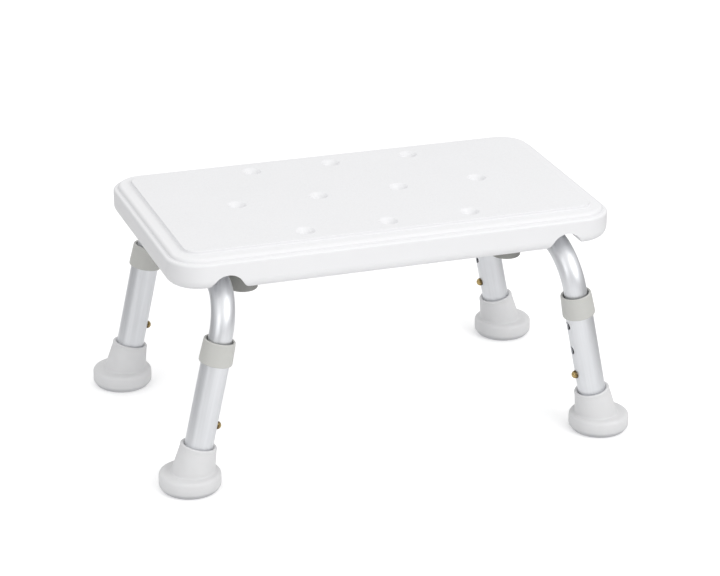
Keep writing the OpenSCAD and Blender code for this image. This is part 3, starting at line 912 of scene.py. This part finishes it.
class STOOL_OT_stage(Operator):
    """Lays the floor, hangs the lights and sets the camera"""
    bl_idname = "stool.stage"
    bl_label = "Stage"

    def floor(self, stage, rgb):
        """A pale floor that is clear from below, and throws less light back than it shows."""
        bm = bmesh.new()
        under_soles = Vector((0, 0, -0.05 * MM))
        bmesh.ops.create_grid(bm, x_segments=8, y_segments=8, size=stage.floor_size / 2)
        bmesh.ops.translate(bm, verts=bm.verts, vec=under_soles)
        obj = as_object("floor", bm)
        material, tree, shader, place = new_material("pale floor", Roughness=0.9)
        path = add(tree, "ShaderNodeLightPath").outputs
        seen = path["Is Camera Ray"]
        pale = use(tree, "mottle", {"Vector": place, "Color": opaque(rgb), "Scale": 1.5, "Amount": 0.01})
        axes = add(tree, "ShaderNodeSeparateXYZ", {"Vector": place}).outputs
        away = mapped(tree, maths(tree, "ABSOLUTE", axes["X"]), *stage.fall_off, stage.bounce,
                      stage.bounce / 3)
        thrown = add(tree, "ShaderNodeCombineColor", {0: away, 1: away, 2: away}).outputs[0]
        tree.links.new(mixed(tree, seen, thrown, pale), shader.inputs["Base Color"])
        shader.inputs["Emission Color"].default_value = (1.0, 1.0, 1.0, 1.0)
        tree.links.new(maths(tree, "MULTIPLY", seen, stage.glow), shader.inputs["Emission Strength"])
        clear = add(tree, "ShaderNodeBsdfTransparent")
        below = add(tree, "ShaderNodeNewGeometry").outputs["Backfacing"]
        near = maths(tree, "LESS_THAN", path["Ray Length"], stage.contact)
        lifted = maths(tree, "MULTIPLY", near, maths(tree, "SUBTRACT", 1.0, seen))
        open_to = maths(tree, "MAXIMUM", below, lifted)
        both = add(tree, "ShaderNodeMixShader", {0: open_to, 1: shader.outputs[0], 2: clear.outputs[0]})
        tree.links.new(both.outputs[0], tree.nodes["Material Output"].inputs["Surface"])
        obj.data.materials.append(material)

    def sky(self, stage):
        """Even white light, a little darker towards the horizon."""
        world = bpy.context.scene.world or bpy.data.worlds.new("studio")
        bpy.context.scene.world = world
        world.use_nodes = True
        tree = world.node_tree
        tree.nodes.clear()
        way = add(tree, "ShaderNodeTexCoord").outputs["Generated"]
        axes = add(tree, "ShaderNodeSeparateXYZ", {"Vector": way}).outputs
        high = mapped(tree, axes["Z"], 0.0, 0.55, 0.0, 1.0)
        side = mapped(tree, axes["X"], -1.0, 1.0, 0.0, 1.0)
        low = mixed(tree, side, (0.42, 0.43, 0.45, 1.0), (0.62, 0.62, 0.63, 1.0))
        shade = mixed(tree, high, low, (1.0, 1.0, 1.0, 1.0))
        back = add(tree, "ShaderNodeBackground", {"Color": shade, "Strength": stage.sky})
        out = add(tree, "ShaderNodeOutputWorld")
        tree.links.new(back.outputs[0], out.inputs["Surface"])

    def lamp(self, name, power, place, width, height):
        """A soft rectangular light that faces the stool."""
        middle = Vector((0, 0, 0.1))
        data = bpy.data.lights.new(name, "AREA")
        data.shape, data.size, data.size_y, data.energy = "RECTANGLE", width, height, power
        obj = bpy.data.objects.new(name, data)
        bpy.context.scene.collection.objects.link(obj)
        obj.location = place
        obj.rotation_mode = "QUATERNION"
        obj.rotation_quaternion = (middle - Vector(place)).to_track_quat("-Z", "Y")

    def camera(self, stage):
        """The camera on its arc round the stool, aimed and rolled."""
        data = bpy.data.cameras.new("view")
        data.sensor_fit, data.sensor_width, data.lens = "HORIZONTAL", 36.0, stage.lens
        data.shift_x, data.shift_y = stage.shift
        data.clip_start, data.clip_end = 0.05, 100.0
        a, e = stage.azimuth, stage.elevation
        back = Vector((math.sin(a) * math.cos(e), -math.cos(a) * math.cos(e), math.sin(e)))
        right = Vector((math.cos(a), math.sin(a), 0))
        up = back.cross(right)
        across = right * math.cos(stage.roll) + up * math.sin(stage.roll)
        over = up * math.cos(stage.roll) - right * math.sin(stage.roll)
        obj = bpy.data.objects.new("view", data)
        bpy.context.scene.collection.objects.link(obj)
        turned = Matrix((across, over, back)).transposed().to_4x4()
        obj.matrix_world = Matrix.Translation(Vector(stage.target) + back * stage.distance) @ turned
        bpy.context.scene.camera = obj

    def execute(self, context):
        scene = context.scene
        stage = scene.stool_stage
        self.floor(stage, scene.stool_colours.floor)
        self.sky(stage)
        self.lamp("front light", stage.key, (1.1, -1.9, 1.6), 1.6, 1.2)
        self.lamp("left light", stage.fill, (-1.65, -1.15, 0.6), 0.7, 1.2)
        self.camera(stage)
        scene.view_settings.view_transform = "Standard"
        return {"FINISHED"}


OPERATORS = (
    STOOL_OT_seat,
    STOOL_OT_frame_tubes,
    STOOL_OT_outer_tubes,
    STOOL_OT_collars,
    STOOL_OT_feet,
    STOOL_OT_brackets,
    STOOL_OT_buttons,
    STOOL_OT_fittings,
    STOOL_OT_stage,
)


class STOOL_PT_sidebar(Panel):
    """Lists the stool's pieces and the sizes and colours that can be changed"""
    bl_idname = "STOOL_PT_sidebar"
    bl_label = "Shower stool"
    bl_space_type = "VIEW_3D"
    bl_region_type = "UI"
    bl_category = "Stool"

    def draw(self, context):
        layout = self.layout
        for key, kind in SETTINGS.items():
            box = layout.box()
            held = getattr(context.scene, key)
            for field in kind.__annotations__:
                box.prop(held, field)
        for operator in OPERATORS:
            layout.operator(operator.bl_idname)


CLASSES = (*SETTINGS.values(), *OPERATORS, STOOL_PT_sidebar)


def register():
    for kind in CLASSES:
        bpy.utils.register_class(kind)
    for key, kind in SETTINGS.items():
        setattr(bpy.types.Scene, key, bpy.props.PointerProperty(type=kind))


def unregister():
    for key in SETTINGS:
        delattr(bpy.types.Scene, key)
    for kind in reversed(CLASSES):
        bpy.utils.unregister_class(kind)


def main():
    register()
    make_groups()
    for operator in OPERATORS:
        getattr(bpy.ops.stool, operator.bl_idname.split(".")[1])()


if __name__ == "__main__":
    main()
